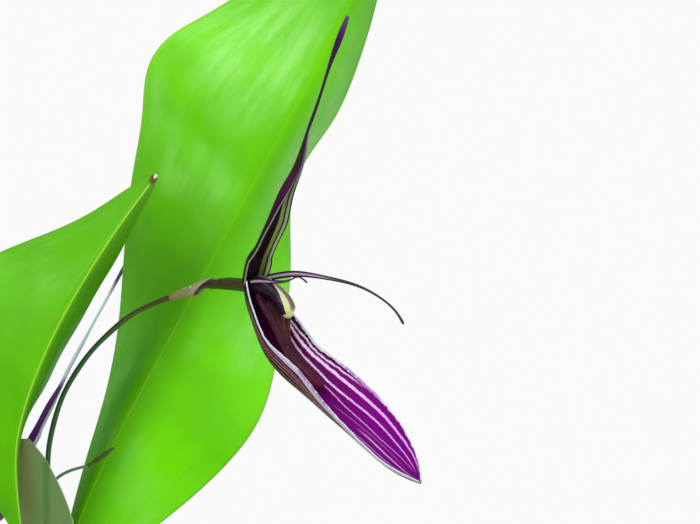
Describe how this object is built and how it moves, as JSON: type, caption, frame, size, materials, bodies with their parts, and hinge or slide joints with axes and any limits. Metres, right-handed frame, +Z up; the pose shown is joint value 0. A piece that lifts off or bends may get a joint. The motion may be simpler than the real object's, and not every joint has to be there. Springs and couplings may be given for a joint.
{
  "type": "potted restrepia purpurea orchid",
  "caption": "Potted Restrepia orchid with folded leathery leaves on slender stems and a striped crimson flower with a channelled lower sepal, in a terracotta pot.",
  "frame": {"origin": "centre of the pot's flat base, on the surface that the pot stands on", "axes": "+Z up the pot and the plant; +X to the viewer's right; +Y away from the viewer of the picture"},
  "size_m": [0.1113, 0.0993, 0.1769],
  "materials": {
    "terracotta": "matte",
    "moss": "matte",
    "rhizome": "matte",
    "root": "matte",
    "stem": "satin",
    "leaf": "satin",
    "sheath": "matte",
    "peduncle": "satin",
    "ovary": "satin",
    "sepal": "satin",
    "petal": "satin",
    "lip": "satin",
    "column": "gloss",
    "anther": "satin",
    "withered": "matte"
  },
  "bodies": {
    "root": {"pot": "terracotta", "moss": "moss", "rhizome": "rhizome", "root_1": "root", "root_2": "root", "root_3": "root", "root_4": "root", "ramicaul_1": "stem", "sheath_1": "sheath", "leaf_1": "leaf", "ramicaul_2": "stem", "sheath_2": "sheath", "leaf_2": "leaf", "ramicaul_3": "stem", "sheath_3": "sheath", "leaf_3": "leaf", "ramicaul_4": "stem", "sheath_4": "sheath", "leaf_4": "leaf", "ramicaul_5": "stem", "sheath_5": "sheath", "leaf_5": "leaf", "ramicaul_6": "stem", "sheath_6": "sheath", "leaf_6": "leaf", "ramicaul_7": "stem", "sheath_7": "sheath", "leaf_7": "leaf", "ramicaul_8": "stem", "sheath_8": "sheath", "leaf_8": "leaf", "ramicaul_9": "stem", "sheath_9": "sheath", "leaf_9": "leaf", "synsepal_1": "sepal", "dorsal_sepal_1": "sepal", "lip_1": "lip", "left_petal_1": "petal", "right_petal_1": "petal", "column_1": "column", "anther_cap_1": "anther", "ovary_1": "ovary", "floral_bract_1": "sheath", "peduncle_1": "peduncle", "synsepal_2": "sepal", "dorsal_sepal_2": "sepal", "lip_2": "lip", "left_petal_2": "petal", "right_petal_2": "petal", "column_2": "column", "anther_cap_2": "anther", "ovary_2": "ovary", "floral_bract_2": "sheath", "peduncle_2": "peduncle", "spathe": "sheath", "spent_peduncle": "peduncle", "spent_flower": "withered", "bud_peduncle": "peduncle", "bud": "sepal"}
  },
  "joints": []
}
